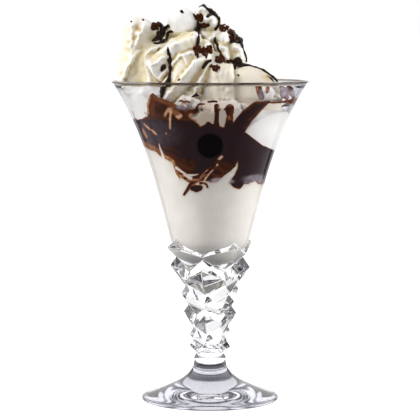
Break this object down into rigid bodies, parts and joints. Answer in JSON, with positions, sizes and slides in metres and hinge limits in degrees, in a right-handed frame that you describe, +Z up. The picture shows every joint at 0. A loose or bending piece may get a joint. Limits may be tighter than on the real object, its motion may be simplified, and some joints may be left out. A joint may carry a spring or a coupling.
{
  "type": "ice cream sundae in a stemmed glass",
  "caption": "Ice cream sundae in a stemmed glass: vanilla ice cream, a band of chocolate sauce, scoops and piped whipped cream with chocolate drizzle, crumbs and clumps.",
  "frame": {"origin": "centre of the foot's resting face, on the glass's axis", "axes": "+Z up the glass, -Y the side that is looked at, +X to its right"},
  "size_m": [0.1196, 0.1196, 0.239],
  "materials": {
    "glass": "clear, polished, with bevelled facets on the stem",
    "vanilla_ice_cream": "matt, slightly grainy, warm white",
    "whipped_cream": "soft matt, warm white, finely bubbly on the crests",
    "chocolate_sauce": "glossy, near black where thick and brown where thin",
    "chocolate_crumb": "matt, rough, dark brown",
    "dark_cherry": "smooth, near black"
  },
  "bodies": {
    "root": {"glass": "glass", "ice_cream_base": "vanilla_ice_cream", "side_scoop": "vanilla_ice_cream", "vanilla_scoop": "vanilla_ice_cream", "front_scoop": "vanilla_ice_cream", "chocolate_sauce": "chocolate_sauce", "whipped_cream": "whipped_cream", "dark_cherry": "dark_cherry", "chocolate_clump_left": "chocolate_crumb", "chocolate_clump_top": "chocolate_crumb", "chocolate_clump_right": "chocolate_crumb", "chocolate_clump_middle": "chocolate_crumb", "chocolate_clump_low": "chocolate_crumb"}
  },
  "joints": []
}
